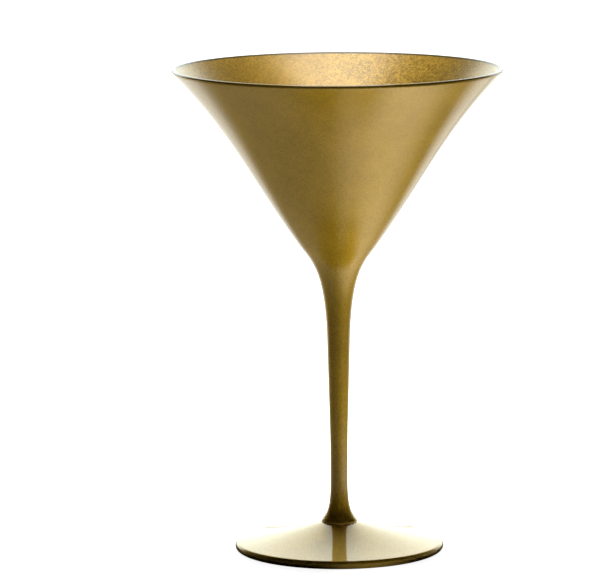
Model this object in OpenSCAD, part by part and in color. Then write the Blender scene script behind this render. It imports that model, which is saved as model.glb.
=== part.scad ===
// Martini glass, lacquered metallic gold inside and out.
//
// Three pieces of clear glass are fused end to end: the foot, the stem and the bowl. Each
// carries its own lacquer skins. Everything is round about Z. Millimetres, +Z up, and the
// origin is at the centre of the circle that the foot stands on.
//
// The section is one path of points [radius, height]. It is walked from under the foot,
// round the foot's edge, up the stem and the outside of the bowl, over the rim and down
// inside the bowl. The glass always lies to the left of the walk, so a lacquer skin is the
// space between the path and the same path moved left.

/* [Overall] */
// Height from the standing ring to the rim
height = 172; // [164:1:180]
// Widest diameter, at the rim
rim_d = 116; // [110:1:122]

/* [Foot] */
// Diameter of the foot
foot_d = 74; // [70:1:80]
// Height of the foot's dome where the stem stands on it
foot_rise = 10; // [9:0.1:11]
// Thickness of the foot at its edge
foot_edge_t = 3.1; // [2.6:0.1:3.6]
// Outer diameter of the ring that the glass stands on
ring_d = 69.6; // [62:0.2:69.6]
// Width of the standing ring
ring_w = 1.6; // [1:0.1:2.4]
// Depth of the hollow under the foot
hollow_depth = 4.2; // [2:0.1:5]

/* [Stem] */
// Diameter of the stem's flared base
hub_d = 12.8; // [11.4:0.1:14]
// Narrowest diameter of the stem
waist_d = 6; // [5.4:0.1:7]
// Height of the narrowest place
waist_z = 29; // [26:0.5:32]
// Diameter where the stem begins to widen into the neck
neck_d = 8.2; // [7.6:0.1:9]
// Height where the stem begins to widen into the neck
neck_z = 75.7; // [70:0.1:80]

/* [Bowl] */
// Diameter where the neck's sweep turns into the wall
shoulder_d = 27.8; // [26.6:0.2:29]
// Height where the neck's sweep turns into the wall
shoulder_z = 109.7; // [107.5:0.1:111.5]
// Height of the lowest point inside the bowl
cup_z = 102.7; // [102.2:0.1:103.6]
// Wall thickness at the rim, lacquer included
rim_t = 1.5; // [1.2:0.1:1.8]
// Wall thickness at the shoulder, lacquer included
shoulder_t = 2.7; // [2.4:0.1:3]

/* [Lacquer] */
// Thickness of each lacquer skin
lacquer_t = 0.2; // [0.15:0.01:0.3]

/* [Hidden] */
$fn = 180;

GLASS = [0.86, 0.92, 0.9, 0.45];
GOLD = [0.72, 0.56, 0.26];
BRIGHT_GOLD = [0.86, 0.68, 0.36];

// Directions of the walk, as [outwards, up]
UP = [0, 1];
OUT = [1, 0];
UNDER_END = [1, -0.32];
DOME_START = [-1, 0.16];
DOME_END = [-1, 0.3];
FLARE_START = [-0.8, 1];
NECK_WAY = [0.026, 1];
SHOULDER_WAY = [0.71, 1];
RIM_WAY = [0.95, 1];

// How strongly each curve holds its direction at its two ends, as shares of its length
UNDER_PULLS = [0.52, 0.26];
EDGE_LOW_PULLS = [0.49, 0.35];
EDGE_HIGH_PULLS = [0.59, 0.25];
DOME_PULLS = [0.33, 0.34];
TOE_PULLS = [0.47, 0.3];
FLARE_PULLS = [0.19, 0.74];
SHANK_PULLS = [0.26, 0.6];
THROAT_PULLS = [0.71, 0.21];
WALL_PULLS = [0.39, 0.41];
INSIDE_PULLS = [0.43, 0.405];
CUP_PULLS = [0.31, 0.32];

// How far the foot's upper edge is rounded in, and the size of the rounded toe of the stem
EDGE_ROUND = 0.9;
TOE = [-0.5, 1.4];

// The share of the neck's sweep that belongs to the stem: the fused seam is at its top
SEAM = 0.3;

// Straight pieces in a long, a middling and a short curve
FINE = 28;
MID = 14;
SHORT = 6;

// The point at t on a cubic curve, and the unit vector along it
function at(c, t) =
    pow(1 - t, 3) * c[0] + 3 * pow(1 - t, 2) * t * c[1] + 3 * (1 - t) * t * t * c[2] + pow(t, 3) * c[3];
function along(c, t) =
    unit(pow(1 - t, 2) * (c[1] - c[0]) + 2 * (1 - t) * t * (c[2] - c[1]) + t * t * (c[3] - c[2]));
function unit(v) = v / norm(v);
function left(v) = [-v[1], v[0]];

// A curve from a to b that follows the directions a_way and b_way at its ends
function sweep(a, a_way, b, b_way, pulls) =
    let (span = norm(b - a))
    [a, a + pulls[0] * span * unit(a_way), b - pulls[1] * span * unit(b_way), b];

// Points along a curve from t = start to t = end, moved left of it by m
function walk(c, steps, m, start = 0, end = 1) =
    [for (i = [0 : steps]) let (t = start + (end - start) * i / steps) at(c, t) + m * left(along(c, t))];

// Points along an arc that turns left, from one angle to another
function turn(centre, r, start, end, steps) =
    [for (i = [0 : steps]) let (a = start + (end - start) * i / steps) centre + r * [cos(a), sin(a)]];

// A list without its first point, which the list before it ends on, and a list backwards
function rest(list) = [for (i = [1 : len(list) - 1]) list[i]];
function back(list) = [for (i = [len(list) - 1 : -1 : 0]) list[i]];

// The rim is a half circle between the outer wall and the inner wall
lip_r = rim_t / 2;
lip_centre = [rim_d / 2 - lip_r, height - lip_r];
lip_tilt = atan(RIM_WAY[0]);
lip_out = lip_centre - lip_r * left(unit(RIM_WAY));
lip_in = lip_centre + lip_r * left(unit(RIM_WAY));

// Under the foot: a shallow dome from the axis to the standing ring
ring_out = [ring_d / 2, 0];
ring_in = ring_out - ring_w * OUT;
under = sweep([0, hollow_depth], OUT, ring_in, UNDER_END, UNDER_PULLS);

// The foot's edge, from the standing ring to the top, and the dome up to the stem
edge = [foot_d / 2, foot_edge_t / 2];
edge_top = [foot_d / 2 - EDGE_ROUND, foot_edge_t];
hub = [hub_d / 2, foot_rise];
edge_low = sweep(ring_out, OUT, edge, UP, EDGE_LOW_PULLS);
edge_high = sweep(edge, UP, edge_top, DOME_START, EDGE_HIGH_PULLS);
dome = sweep(edge_top, DOME_START, hub, DOME_END, DOME_PULLS);

// The stem: a rounded toe, a flare in to the waist, then a slow taper out to the neck
waist = [waist_d / 2, waist_z];
neck = [neck_d / 2, neck_z];
toe = sweep(hub, UP, hub + TOE, FLARE_START, TOE_PULLS);
flare = sweep(hub + TOE, FLARE_START, waist, UP, FLARE_PULLS);
shank = sweep(waist, UP, neck, NECK_WAY, SHANK_PULLS);

// The neck's sweep into the bowl, and the bowl's wall, which flares a little to the rim
shoulder = [shoulder_d / 2, shoulder_z];
throat = sweep(neck, NECK_WAY, shoulder, SHOULDER_WAY, THROAT_PULLS);
wall = sweep(shoulder, SHOULDER_WAY, lip_out, RIM_WAY, WALL_PULLS);

// Inside: the wall down to the shoulder, then a rounded bottom
shoulder_in = shoulder + shoulder_t * left(unit(SHOULDER_WAY));
inside = sweep(lip_in, -RIM_WAY, shoulder_in, -SHOULDER_WAY, INSIDE_PULLS);
cup = sweep(shoulder_in, -SHOULDER_WAY, [0, cup_z], -OUT, CUP_PULLS);

// Each stretch of the walk, moved into the glass by m
function under_path(m) = walk(under, MID, m);
function foot_path(m) =
    concat(walk(edge_low, SHORT, m), rest(walk(edge_high, SHORT, m)), rest(walk(dome, MID, m)));
function stem_path(m) =
    concat(walk(toe, SHORT, m), rest(walk(flare, MID, m)), rest(walk(shank, MID, m)),
           rest(walk(throat, SHORT, m, 0, SEAM)));
function outside_path(m) =
    concat(walk(throat, MID, m, SEAM, 1), rest(walk(wall, FINE, m)),
           rest(turn(lip_centre, lip_r - m, -lip_tilt, 90, SHORT)));
function inside_path(m) =
    concat(turn(lip_centre, lip_r - m, 90, 180 - lip_tilt, SHORT), rest(walk(inside, FINE, m)),
           rest(walk(cup, MID, m)));

// The corner of the stem's seat on the foot, and the heights of the seat and of the seam
seat = at(dome, 1) + lacquer_t * left(along(dome, 1));
seat_z = seat[1];
seam_z = (at(throat, SEAM) + lacquer_t * left(along(throat, SEAM)))[1];
stem_foot = [hub[0] - lacquer_t, seat_z];

// A solid of revolution, and the space between a path and the same path moved inwards
module lathe(outline) {
    rotate_extrude()
        polygon(outline);
}
module skin(outer, inner) {
    lathe(concat(outer, back(inner)));
}

// The foot: a thin domed disc with a narrow standing ring and a flat seat for the stem
module foot_glass() {
    color(GLASS)
        lathe(concat(under_path(lacquer_t), [ring_in, ring_out], foot_path(lacquer_t), [[0, seat_z]]));
}

// The stem: solid glass, fused to the foot at its flared base and to the bowl at the neck
module stem_glass() {
    color(GLASS)
        lathe(concat([[0, seat_z], stem_foot], stem_path(lacquer_t), [[0, seam_z]]));
}

// The bowl: a cone with a solid neck below it, a wall that thins upwards and a round lip
module bowl_glass() {
    color(GLASS)
        lathe(concat([[0, seam_z]], outside_path(lacquer_t), rest(inside_path(lacquer_t))));
}

// Lacquer in the hollow under the foot, as far as the bare standing ring
module foot_under_lacquer() {
    color(GOLD)
        skin(under_path(0), under_path(lacquer_t));
}

// Lacquer on the foot's edge and top, as far as the stem
module foot_top_lacquer() {
    color(GOLD)
        skin(foot_path(0), foot_path(lacquer_t));
}

// Lacquer on the stem, standing on the same seat as the glass inside it
module stem_lacquer() {
    color(GOLD)
        skin(concat([seat], stem_path(0)), concat([stem_foot], stem_path(lacquer_t)));
}

// Lacquer on the neck and the outside of the bowl, up to the crown of the lip
module bowl_outside_lacquer() {
    color(GOLD)
        skin(outside_path(0), outside_path(lacquer_t));
}

// Lacquer from the crown of the lip down over the inside of the bowl
module bowl_inside_lacquer() {
    color(BRIGHT_GOLD)
        skin(inside_path(0), inside_path(lacquer_t));
}

foot_glass();
stem_glass();
bowl_glass();
foot_under_lacquer();
foot_top_lacquer();
stem_lacquer();
bowl_outside_lacquer();
bowl_inside_lacquer();
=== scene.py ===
"""A martini glass in metallic gold lacquer: the looks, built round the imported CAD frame."""

import math

import bpy
from mathutils import Matrix, Vector


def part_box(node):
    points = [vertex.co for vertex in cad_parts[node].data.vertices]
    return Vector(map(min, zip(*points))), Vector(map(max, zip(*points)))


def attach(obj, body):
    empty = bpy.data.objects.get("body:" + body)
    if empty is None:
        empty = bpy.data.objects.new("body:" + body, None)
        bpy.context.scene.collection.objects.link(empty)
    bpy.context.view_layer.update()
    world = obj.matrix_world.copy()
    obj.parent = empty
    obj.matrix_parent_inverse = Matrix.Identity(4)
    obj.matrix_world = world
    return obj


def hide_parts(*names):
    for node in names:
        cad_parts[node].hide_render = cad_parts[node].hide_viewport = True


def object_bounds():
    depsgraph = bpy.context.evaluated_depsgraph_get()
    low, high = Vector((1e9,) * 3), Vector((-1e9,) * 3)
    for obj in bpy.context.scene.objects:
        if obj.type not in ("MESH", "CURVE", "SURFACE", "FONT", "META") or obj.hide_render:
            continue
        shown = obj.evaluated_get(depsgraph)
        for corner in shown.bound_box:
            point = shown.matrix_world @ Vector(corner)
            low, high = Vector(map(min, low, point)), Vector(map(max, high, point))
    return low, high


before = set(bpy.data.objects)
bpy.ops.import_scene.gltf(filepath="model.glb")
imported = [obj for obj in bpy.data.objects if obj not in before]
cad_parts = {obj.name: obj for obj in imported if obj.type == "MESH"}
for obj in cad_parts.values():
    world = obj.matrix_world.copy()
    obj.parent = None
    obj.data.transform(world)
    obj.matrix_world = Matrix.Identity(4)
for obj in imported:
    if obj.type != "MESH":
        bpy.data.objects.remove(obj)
cad_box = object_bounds()

MM = 0.001
# Facets round the axis
TURNS = 256

# ---------------------------------------------------------------- the section, as in the CAD
# The path runs from under the foot, round its edge, up the outside, over the rim and down
# inside. The glass is on its left, so a lacquer skin lies between the path and the path
# moved left by the lacquer's thickness. Lengths in metres, points as (radius, height).

HEIGHT = cad_box[1].z
RIM_R = cad_box[1].x
FOOT_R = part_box("foot_top_lacquer")[1].x
FOOT_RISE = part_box("foot_top_lacquer")[1].z
HUB_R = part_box("stem_lacquer")[1].x
LACQUER = 0.2 * MM
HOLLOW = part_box("foot_under_lacquer")[1].z - LACQUER
RIM_T = 1.5 * MM
RING_R = 34.8 * MM
RING_W = 1.6 * MM
EDGE_T = 3.1 * MM
EDGE_ROUND = 0.9 * MM
TOE = Vector((-0.5, 1.4)) * MM
WAIST = Vector((3.0, 29.0)) * MM
NECK = Vector((4.1, 75.7)) * MM
SHOULDER = Vector((13.9, 109.7)) * MM
SHOULDER_T = 2.7 * MM
CUP = Vector((0.0, 102.7)) * MM
# Where the stem ends and the bowl begins, as a share of the throat's curve
SEAM = 0.3

# Directions of the path, and how strongly each curve holds them at its two ends, as shares
# of its length
UP = Vector((0, 1))
OUT = Vector((1, 0))
UNDER_END = Vector((1, -0.32))
DOME_START = Vector((-1, 0.16))
DOME_END = Vector((-1, 0.3))
FLARE_START = Vector((-0.8, 1))
NECK_WAY = Vector((0.026, 1))
SHOULDER_WAY = Vector((0.71, 1))
RIM_WAY = Vector((0.95, 1))
UNDER_PULLS = (0.52, 0.26)
EDGE_LOW_PULLS = (0.49, 0.35)
EDGE_HIGH_PULLS = (0.59, 0.25)
DOME_PULLS = (0.33, 0.34)
TOE_PULLS = (0.47, 0.3)
FLARE_PULLS = (0.19, 0.74)
SHANK_PULLS = (0.26, 0.6)
THROAT_PULLS = (0.71, 0.21)
WALL_PULLS = (0.39, 0.41)
INSIDE_PULLS = (0.43, 0.405)
CUP_PULLS = (0.31, 0.32)

# Straight pieces in a long, a middling and a short curve
FINE = 72
MID = 36
SHORT = 14


def at(curve, t):
    """The point at t on a cubic curve."""
    a, b, c, d = curve
    return a * (1 - t) ** 3 + b * 3 * (1 - t) ** 2 * t + c * 3 * (1 - t) * t**2 + d * t**3


def along(curve, t):
    """The unit vector along a cubic curve at t."""
    a, b, c, d = curve
    return ((b - a) * (1 - t) ** 2 + (c - b) * 2 * (1 - t) * t + (d - c) * t**2).normalized()


def left(v):
    """The vector turned a quarter to the left."""
    return Vector((-v.y, v.x))


def sweep(a, a_way, b, b_way, pulls):
    """A curve from a to b that follows a direction at each end."""
    span = (b - a).length
    return a, a + a_way.normalized() * span * pulls[0], b - b_way.normalized() * span * pulls[1], b


def walk(curve, steps, move, start=0.0, end=1.0):
    """Points along a curve, moved left of it."""
    places = [start + (end - start) * i / steps for i in range(steps + 1)]
    return [at(curve, t) + left(along(curve, t)) * move for t in places]


def turn(centre, radius, start, end, steps):
    """Points along an arc, with its ends in radians."""
    angles = [start + (end - start) * i / steps for i in range(steps + 1)]
    return [centre + Vector((math.cos(a), math.sin(a))) * radius for a in angles]


def chain(*stretches):
    """Stretches that each begin where the last one ends, as one list."""
    points = list(stretches[0])
    for stretch in stretches[1:]:
        points += stretch[1:]
    return points


lip_r = RIM_T / 2
lip_centre = Vector((RIM_R - lip_r, HEIGHT - lip_r))
lip_tilt = math.atan(RIM_WAY.x)
lip_out = lip_centre - left(RIM_WAY.normalized()) * lip_r
lip_in = lip_centre + left(RIM_WAY.normalized()) * lip_r
ring_out = OUT * RING_R
ring_in = OUT * (RING_R - RING_W)
edge = Vector((FOOT_R, EDGE_T / 2))
edge_top = Vector((FOOT_R - EDGE_ROUND, EDGE_T))
hub = Vector((HUB_R, FOOT_RISE))
shoulder_in = SHOULDER + left(SHOULDER_WAY.normalized()) * SHOULDER_T

under = sweep(UP * HOLLOW, OUT, ring_in, UNDER_END, UNDER_PULLS)
edge_low = sweep(ring_out, OUT, edge, UP, EDGE_LOW_PULLS)
edge_high = sweep(edge, UP, edge_top, DOME_START, EDGE_HIGH_PULLS)
dome = sweep(edge_top, DOME_START, hub, DOME_END, DOME_PULLS)
toe = sweep(hub, UP, hub + TOE, FLARE_START, TOE_PULLS)
flare = sweep(hub + TOE, FLARE_START, WAIST, UP, FLARE_PULLS)
shank = sweep(WAIST, UP, NECK, NECK_WAY, SHANK_PULLS)
throat = sweep(NECK, NECK_WAY, SHOULDER, SHOULDER_WAY, THROAT_PULLS)
wall = sweep(SHOULDER, SHOULDER_WAY, lip_out, RIM_WAY, WALL_PULLS)
inside = sweep(lip_in, -RIM_WAY, shoulder_in, -SHOULDER_WAY, INSIDE_PULLS)
cup = sweep(shoulder_in, -SHOULDER_WAY, CUP, -OUT, CUP_PULLS)


def under_path(m):
    """The hollow under the foot, from the axis to the standing ring."""
    return walk(under, MID, m)


def foot_path(m):
    """The foot's edge and its dome, as far as the stem."""
    return chain(walk(edge_low, SHORT, m), walk(edge_high, SHORT, m), walk(dome, MID, m))


def stem_path(m):
    """The stem, from its toe to the fused seam under the bowl."""
    start = chain(walk(toe, SHORT, m), walk(flare, MID, m), walk(shank, MID, m))
    return chain(start, walk(throat, SHORT, m, 0, SEAM))


def outside_path(m):
    """The outside of the bowl, from the seam to the crown of the lip."""
    lip = turn(lip_centre, lip_r - m, -lip_tilt, math.pi / 2, SHORT)
    return chain(walk(throat, MID, m, SEAM, 1), walk(wall, FINE, m), lip)


def inside_path(m):
    """The inside of the bowl, from the crown of the lip to the axis."""
    lip = turn(lip_centre, lip_r - m, math.pi / 2, math.pi - lip_tilt, SHORT)
    return chain(lip, walk(inside, FINE, m), walk(cup, MID, m))


# ---------------------------------------------------------------- meshes

# A point nearer the axis than this is on it
ON_AXIS = 1e-7
# Facets that meet at more than this, in degrees, keep a sharp edge
SHARP = 40


def lathe(name, section):
    """A closed solid of revolution. The section is a closed loop, or ends on the axis at both ends."""
    on_axis = [abs(p.x) < ON_AXIS for p in section]
    verts, rings = [], []
    for p, axial in zip(section, on_axis):
        rings.append(len(verts))
        if axial:
            verts.append((0, 0, p.y))
            continue
        for k in range(TURNS):
            a = math.tau * k / TURNS
            verts.append((p.x * math.cos(a), p.x * math.sin(a), p.y))
    faces = []
    pairs = [(i, (i + 1) % len(section)) for i in range(len(section))]
    for i, j in pairs:
        if on_axis[i] and on_axis[j]:
            continue
        for k in range(TURNS):
            n = (k + 1) % TURNS
            if on_axis[i]:
                faces.append((rings[i], rings[j] + n, rings[j] + k))
            elif on_axis[j]:
                faces.append((rings[i] + k, rings[i] + n, rings[j]))
            else:
                faces.append((rings[i] + k, rings[i] + n, rings[j] + n, rings[j] + k))
    mesh = bpy.data.meshes.new(name)
    mesh.from_pydata(verts, [], faces)
    mesh.validate()
    mesh.shade_smooth()
    mesh.set_sharp_from_angle(angle=math.radians(SHARP))
    obj = bpy.data.objects.new(name, mesh)
    bpy.context.scene.collection.objects.link(obj)
    return obj


def skin(name, node, outer, inner, coat):
    """A lacquer skin between a path and the same path moved into the glass, for a CAD node."""
    obj = lathe(name, outer + inner[::-1])
    obj.data.materials.append(coat)
    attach(obj, "root")
    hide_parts(node)


# ---------------------------------------------------------------- materials

METALLIC = 1.0
FLAKE_ROUGHNESS = 0.62
# A flake leans out of the surface by this much of its own random colour's distance from grey
FLAKE_TILT = 0.12
GREY = (0.5, 0.5, 0.5)
# Sizes of the flakes, outside and inside
FINE_FLAKE = 0.24 * MM
COARSE_FLAKE = 0.5 * MM
# The flake colours, from the deepest to the palest. The inside's are darker than the outside's on the
# same lacquer: painted shade
OUTSIDE_TONES = ((0.55, 0.335, 0.017), (0.84, 0.535, 0.05))
INSIDE_SHADED_TONES = ((0.26, 0.159, 0.018), (0.64, 0.4, 0.055))
# The tone is a flake's own value from 0 to 1 plus a cloud's, and spreads over this range
TONE_RANGE = (0.2, 1.5)
CLOUDS = {"Scale": 90.0, "Detail": 3.0}
# The gloss over the flakes, and its faint orange peel
COAT = 1.0
COAT_IOR = 1.5
OUTSIDE_GLOSS = 0.07
INSIDE_GLOSS = 0.3
PEEL = {"Scale": 420.0, "Detail": 1.0}
PEEL_BUMP = {"Strength": 0.25, "Distance": 0.04 * MM}
# Painted dark reflection: the lacquer's colour is darkened along the lip, as a thin dark line round the
# rim
LIP_SHADE_BAND = (HEIGHT - 0.7 * MM, HEIGHT - 0.35 * MM)
LIP_SHADE = 0.25

GLASS = {"Base Color": (0.93, 0.98, 0.95, 1), "Roughness": 0.02, "IOR": 1.52, "Transmission Weight": 1.0}
GLASS_WAVES = {"Scale": 60.0, "Detail": 2.0}
GLASS_BUMP = {"Strength": 0.1, "Distance": 0.2 * MM}

# A Mix node has inputs for every kind of data: its two colours are 6 and 7, and come out at 2
MIX_A = 6
MIX_B = 7
MIX_OUT = 2


class Nodes:
    """Short ways to make and join the nodes of one material or world."""

    def __init__(self, block):
        block.use_nodes = True
        self.tree = block.node_tree

    def add(self, kind, inputs, **settings):
        """A node with its inputs joined or set."""
        node = self.tree.nodes.new(kind)
        for key, value in settings.items():
            setattr(node, key, value)
        for key, value in inputs.items():
            self.feed(node, key, value)
        return node

    def feed(self, node, key, value):
        """One input, from a socket or a plain value."""
        if isinstance(value, bpy.types.NodeSocket):
            self.tree.links.new(value, node.inputs[key])
        else:
            node.inputs[key].default_value = value

    def ramp(self, value, start, end, low, high, soft=True):
        """A value that goes from low to high while the input goes from start to end."""
        ends = {"Value": value, "From Min": start, "From Max": end, "To Min": low, "To Max": high}
        kind = "SMOOTHSTEP" if soft else "LINEAR"
        return self.add("ShaderNodeMapRange", ends, interpolation_type=kind).outputs[0]

    def mix(self, share, first, second):
        """A colour between two plain colours."""
        inputs = {0: share, MIX_A: first, MIX_B: second}
        return self.add("ShaderNodeMix", inputs, data_type="RGBA").outputs[MIX_OUT]

    def math(self, operation, a, b):
        """Two values joined by an operation."""
        return self.add("ShaderNodeMath", {0: a, 1: b}, operation=operation).outputs[0]

    def vector(self, operation, inputs, output=0):
        """An operation on vectors."""
        return self.add("ShaderNodeVectorMath", inputs, operation=operation).outputs[output]

    def place(self, kind="Object"):
        """The texture coordinates of one kind."""
        return self.add("ShaderNodeTexCoord", {}).outputs[kind]

    def axes(self, value):
        """The X, Y and Z of a vector."""
        return self.add("ShaderNodeSeparateXYZ", {0: value}).outputs

    def noise(self, place, settings):
        """A noise from 0 to 1 over a surface."""
        return self.add("ShaderNodeTexNoise", {"Vector": place, **settings}).outputs[0]

    def bump(self, height, settings):
        """A normal that follows a height."""
        return self.add("ShaderNodeBump", {"Height": height, **settings}).outputs[0]

    def spot(self, place, centre, edges, middle, beyond):
        """A round patch: one value at its middle and another beyond its edge."""
        away = self.vector("DISTANCE", {0: place, 1: centre}, "Value")
        return self.ramp(away, *edges, middle, beyond)


def material(name, inputs):
    """A new material, its nodes and its shader, with the shader's plain inputs set."""
    made = bpy.data.materials.new(name)
    n = Nodes(made)
    shader = n.tree.nodes["Principled BSDF"]
    for key, value in inputs.items():
        shader.inputs[key].default_value = value
    return made, n, shader


def gold_lacquer(name, tones, flake_size, gloss_roughness):
    """Metal flakes of varied tone and tilt, under a smooth clear gloss."""
    plain = {
        "Metallic": METALLIC,
        "Roughness": FLAKE_ROUGHNESS,
        "Coat Weight": COAT,
        "Coat Roughness": gloss_roughness,
        "Coat IOR": COAT_IOR,
    }
    made, n, shader = material(name, plain)
    place = n.place()
    flakes = n.add("ShaderNodeTexVoronoi", {"Vector": place, "Scale": 1 / flake_size}).outputs["Color"]
    tone = n.add("ShaderNodeSeparateColor", {"Color": flakes}).outputs["Red"]
    share = n.ramp(n.math("ADD", tone, n.noise(place, CLOUDS)), *TONE_RANGE, 0.0, 1.0, soft=False)
    colour = n.mix(share, (*tones[0], 1), (*tones[1], 1))
    # Painted dark reflection along the lip: the base colour darkens there
    lip_shade = n.ramp(n.axes(place)["Z"], *LIP_SHADE_BAND, 1.0, LIP_SHADE)
    n.feed(shader, "Base Color", n.vector("SCALE", {0: colour, "Scale": lip_shade}))
    gloss = n.bump(n.noise(place, PEEL), PEEL_BUMP)
    n.feed(shader, "Coat Normal", gloss)
    lean = n.vector("SCALE", {0: n.vector("SUBTRACT", {0: flakes, 1: GREY}), "Scale": FLAKE_TILT})
    n.feed(shader, "Normal", n.vector("NORMALIZE", {0: n.vector("ADD", {0: gloss, 1: lean})}))
    return made


def clear_glass(name):
    """Clear glass with a faint green body and slight waviness."""
    made, n, shader = material(name, GLASS)
    n.feed(shader, "Normal", n.bump(n.noise(n.place(), GLASS_WAVES), GLASS_BUMP))
    return made


outside_gold = gold_lacquer("gold_outside", OUTSIDE_TONES, FINE_FLAKE, OUTSIDE_GLOSS)
# The inside is the same lacquer as the outside, with darker tones as painted shade, and coarser flakes
# and a rougher gloss
inside_gold = gold_lacquer("gold_inside", INSIDE_SHADED_TONES, COARSE_FLAKE, INSIDE_GLOSS)

skin("foot_under_finish", "foot_under_lacquer", under_path(0), under_path(LACQUER), outside_gold)
skin("foot_top_finish", "foot_top_lacquer", foot_path(0), foot_path(LACQUER), outside_gold)
seat = at(dome, 1) + left(along(dome, 1)) * LACQUER
stem_foot = Vector((HUB_R - LACQUER, seat.y))
skin("stem_finish", "stem_lacquer", [seat] + stem_path(0), [stem_foot] + stem_path(LACQUER), outside_gold)
skin("bowl_outside_finish", "bowl_outside_lacquer", outside_path(0), outside_path(LACQUER), outside_gold)
skin("bowl_inside_finish", "bowl_inside_lacquer", inside_path(0), inside_path(LACQUER), inside_gold)

glass = clear_glass("clear_glass")
for node in ("foot_glass", "stem_glass", "bowl_glass"):
    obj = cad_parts[node]
    obj.data.materials.clear()
    obj.data.materials.append(glass)

# ---------------------------------------------------------------- stage, light and camera
# The eye sees a plain white floor and background. The lacquer sees a studio instead: a bright
# backdrop behind the glass, a table whose light is set out below, a softbox overhead, and a
# dark room on the camera's side. Strengths are radiances, with display white as 1. A pair of
# edges is where a value begins and ends its change, in metres over the table.

FLOOR_SIZE = 6.0
FLOOR = {"Base Color": (0.9, 0.9, 0.9, 1), "Emission Color": (1, 1, 1, 1), "Emission Strength": 0.93}

BACKDROP = 2.5
# The backdrop begins and is full at these values of the direction's Y
BACKDROP_EDGE = (0.6, 0.85)
# The backdrop is slightly cool to the lacquer, the table slightly green, the world white to the eye
COOL = (0.9, 1.0, 0.98, 1)
GREENISH = (0.98, 1.0, 0.95, 1)
WHITE = (1, 1, 1, 1)

TABLE_SIZE = 1.5
# All round the glass: a dim light that fades outwards, a little stronger towards the right
TABLE_DIM = 0.37
TABLE_RIGHT = 0.1
TABLE_FADE = (0.08, 0.25)
TABLE_FAR = 0.3
# Close to the foot it is dark
TABLE_SHADE = (0.048, 0.085)
# A pool of light on the right
POOL = 1.2
POOL_PLACE = (0.09, -0.035, 0.0)
POOL_EDGE = (0.02, 0.15)
# Brighter further back
TABLE_BACK = 1.2
TABLE_BACK_EDGE = (0.1, 0.26)
# Two patches of painted shade on the table card, to the right and behind: place, where the shade ends,
# and what it leaves
TABLE_SHADOWS = (
    ((0.168, 0.13, 0.0), (0.012, 0.045), 0.45),
    ((0.183, 0.45, 0.0), (0.03, 0.12), 0.6),
)
# Two small patches that nothing shades: in front of the foot, and a glow just behind it
FRONT = 0.4
FRONT_PLACE = (0.018, -0.056, 0.0)
FRONT_EDGE = (0.006, 0.032)
GLOW = 1.3
GLOW_PLACE = (0.0, 0.075, 0.0)
GLOW_EDGE = (0.035, 0.085)

# Metres and watts
SOFTBOX_PLACE = (0.002, 0.0, 0.4)
SOFTBOX_TARGET = (0, 0, 0.16)
SOFTBOX_SIZE = (0.13, 0.15)
SOFTBOX_POWER = 0.48

CAMERA_PLACE = Vector((0, -1.6143, 0.3391))
CAMERA_TARGET = Vector((-0.01355, 0, 0.0942))
CAMERA_ROLL = math.radians(-0.31)
CAMERA_CLIP_END = 50
# In millimetres
CAMERA_LENS = 277.1
CAMERA_SENSOR = 36


def sheet(name, size, made):
    """A flat square sheet at the height that the glass stands on, which casts no shadow."""
    mesh = bpy.data.meshes.new(name)
    corners = [(-size, -size, 0), (size, -size, 0), (size, size, 0), (-size, size, 0)]
    mesh.from_pydata(corners, [], [(0, 1, 2, 3)])
    mesh.materials.append(made)
    obj = bpy.data.objects.new(name, mesh)
    bpy.context.scene.collection.objects.link(obj)
    obj.visible_shadow = False
    return obj


def floor():
    """The plain white floor, which only the eye sees."""
    made, _, _ = material("floor", FLOOR)
    obj = sheet("floor", FLOOR_SIZE, made)
    obj.visible_glossy = False
    obj.visible_diffuse = False
    obj.visible_transmission = False


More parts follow.
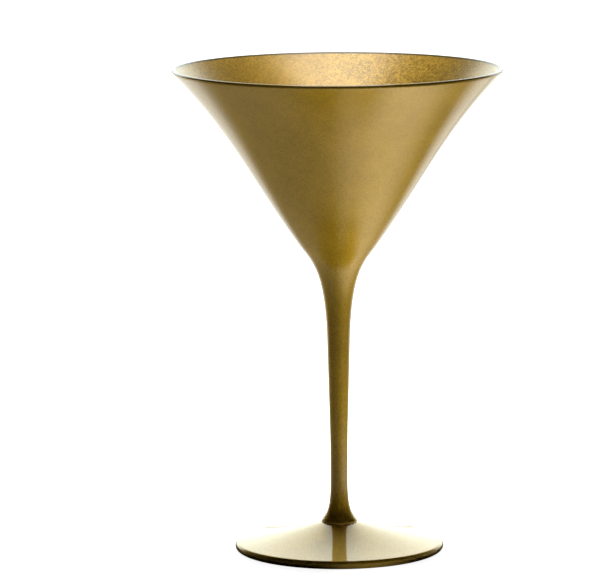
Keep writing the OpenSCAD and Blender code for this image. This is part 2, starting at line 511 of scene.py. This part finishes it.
def table_card():
    """The table as the lacquer sees it, invisible to the eye."""
    dark = {"Base Color": (0, 0, 0, 1), "Specular IOR Level": 0.0, "Emission Color": GREENISH}
    made, n, shader = material("table_card", dark)
    place = n.place()
    away = n.vector("LENGTH", {0: place}, "Value")
    rightward = n.axes(n.vector("NORMALIZE", {0: place}))["X"]
    dim = n.ramp(rightward, 0.0, 1.0, TABLE_DIM, TABLE_DIM + TABLE_RIGHT)
    dim = n.math("MULTIPLY", dim, n.ramp(away, *TABLE_FADE, 1.0, TABLE_FAR))
    pool = n.spot(place, POOL_PLACE, POOL_EDGE, POOL, 0.0)
    near = n.math("MULTIPLY", n.math("ADD", dim, pool), n.ramp(away, *TABLE_SHADE, 0.0, 1.0))
    lit = n.math("ADD", near, n.ramp(n.axes(place)["Y"], *TABLE_BACK_EDGE, 0.0, TABLE_BACK))
    # Painted shade: the table card is darkened in two patches
    for shadow_place, shade_edge, left_over in TABLE_SHADOWS:
        lit = n.math("MULTIPLY", lit, n.spot(place, shadow_place, shade_edge, left_over, 1.0))
    lit = n.math("ADD", lit, n.spot(place, FRONT_PLACE, FRONT_EDGE, FRONT, 0.0))
    lit = n.math("ADD", lit, n.spot(place, GLOW_PLACE, GLOW_EDGE, GLOW, 0.0))
    n.feed(shader, "Emission Strength", lit)
    sheet("table_card", TABLE_SIZE, made).visible_camera = False


def surroundings():
    """The studio round the glass, as a world that is plain white to the eye."""
    world = bpy.data.worlds.new("studio")
    bpy.context.scene.world = world
    n = Nodes(world)
    way = n.axes(n.place("Generated"))
    backdrop = n.ramp(way["Y"], *BACKDROP_EDGE, 0.0, BACKDROP)
    seen = n.math("MULTIPLY", backdrop, n.math("GREATER_THAN", way["Z"], 0.0))
    eye = n.add("ShaderNodeLightPath", {}).outputs["Is Camera Ray"]
    background = n.tree.nodes["Background"]
    n.feed(background, "Color", n.mix(eye, COOL, WHITE))
    n.feed(background, "Strength", n.ramp(eye, 0.0, 1.0, seen, 1.0, soft=False))


def softbox():
    """A rectangular light over the bowl."""
    data = bpy.data.lights.new("top_light", "AREA")
    data.shape = "RECTANGLE"
    data.size, data.size_y = SOFTBOX_SIZE
    data.energy = SOFTBOX_POWER
    obj = bpy.data.objects.new("top_light", data)
    bpy.context.scene.collection.objects.link(obj)
    obj.location = SOFTBOX_PLACE
    way = Vector(SOFTBOX_TARGET) - Vector(SOFTBOX_PLACE)
    obj.rotation_euler = way.to_track_quat("-Z", "Y").to_euler()
    obj.visible_camera = False


def camera():
    """A long lens in front of the glass, higher than the rim and looking slightly down."""
    data = bpy.data.cameras.new("camera")
    data.sensor_fit = "HORIZONTAL"
    data.sensor_width = CAMERA_SENSOR
    data.lens = CAMERA_LENS
    data.clip_end = CAMERA_CLIP_END
    obj = bpy.data.objects.new("camera", data)
    bpy.context.scene.collection.objects.link(obj)
    look = (CAMERA_TARGET - CAMERA_PLACE).normalized()
    right = look.cross(Vector((0, 0, 1))).normalized()
    up = right.cross(look)
    turned = Matrix((right, up, -look)).transposed() @ Matrix.Rotation(CAMERA_ROLL, 3, "Z")
    obj.matrix_world = Matrix.Translation(CAMERA_PLACE) @ turned.to_4x4()
    bpy.context.scene.camera = obj


floor()
surroundings()
table_card()
softbox()
camera()
bpy.context.scene.view_settings.view_transform = "Standard"
